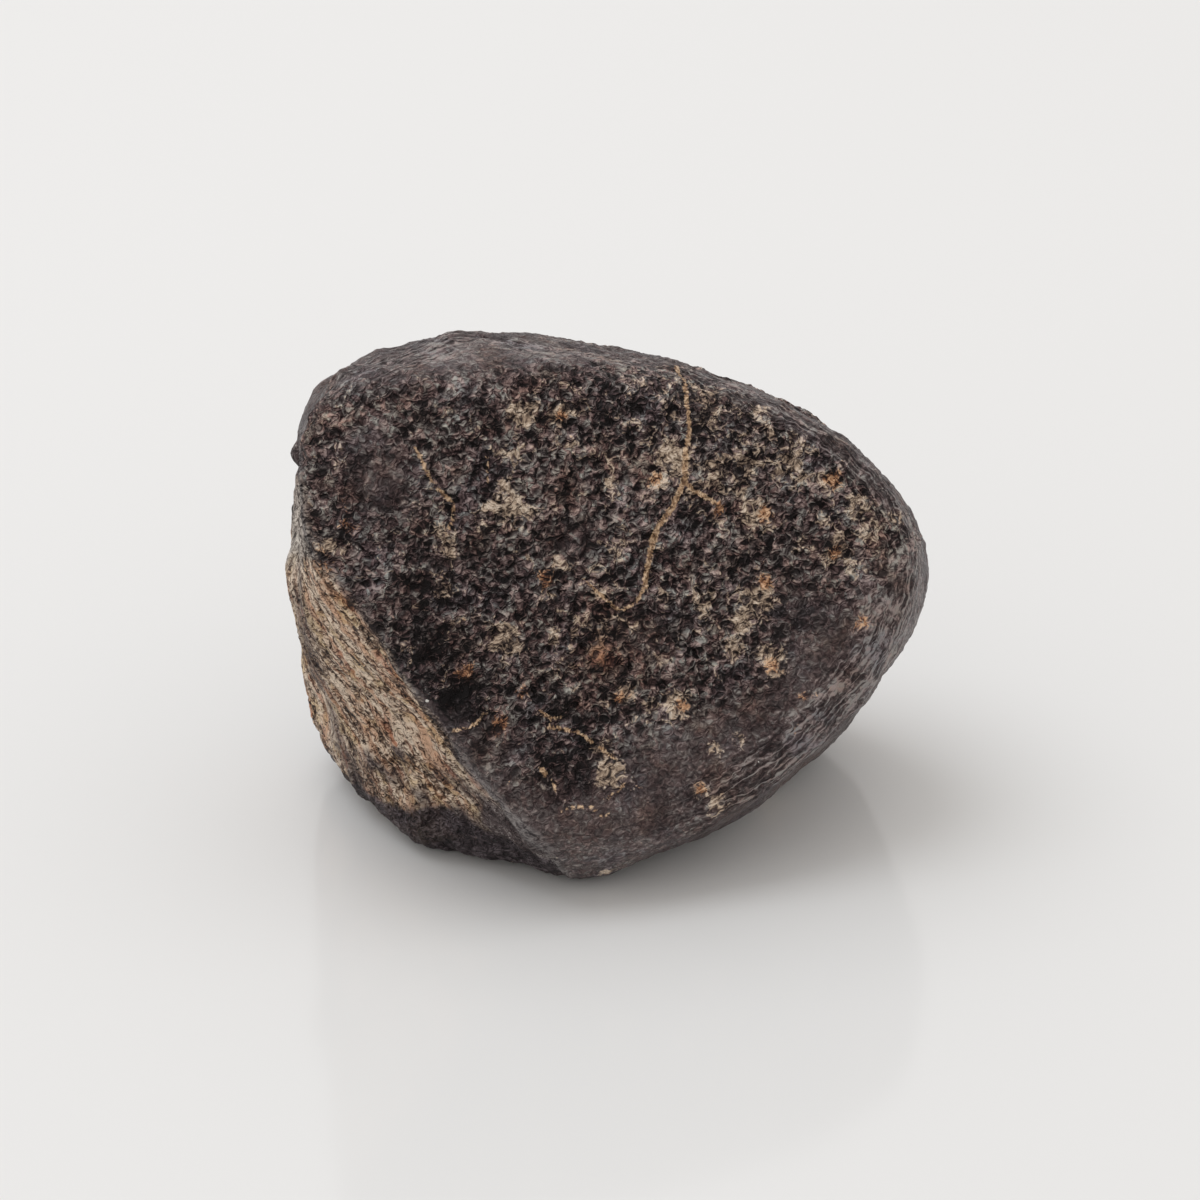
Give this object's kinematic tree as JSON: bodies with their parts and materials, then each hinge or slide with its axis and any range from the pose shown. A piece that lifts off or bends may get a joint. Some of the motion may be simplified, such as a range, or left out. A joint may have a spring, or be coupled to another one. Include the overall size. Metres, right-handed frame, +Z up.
{
  "type": "chondrite meteorite",
  "caption": "Small stony meteorite: a rounded wedge of dark, grainy stone with one lighter broken face, resting on a small worn flat.",
  "frame": {"origin": "under the middle of the stone's box, on the surface that it rests on", "axes": "+Z up; -Y towards the steep main face; -X towards the broken face; +X towards the blunt tip"},
  "size_m": [0.0278, 0.0194, 0.0223],
  "materials": {
    "chondrite": "weathered chondrite: dark brown-grey, granular, with tan grains and rust spots; smoother where worn"
  },
  "bodies": {
    "root": {"stone": "chondrite"}
  },
  "joints": []
}
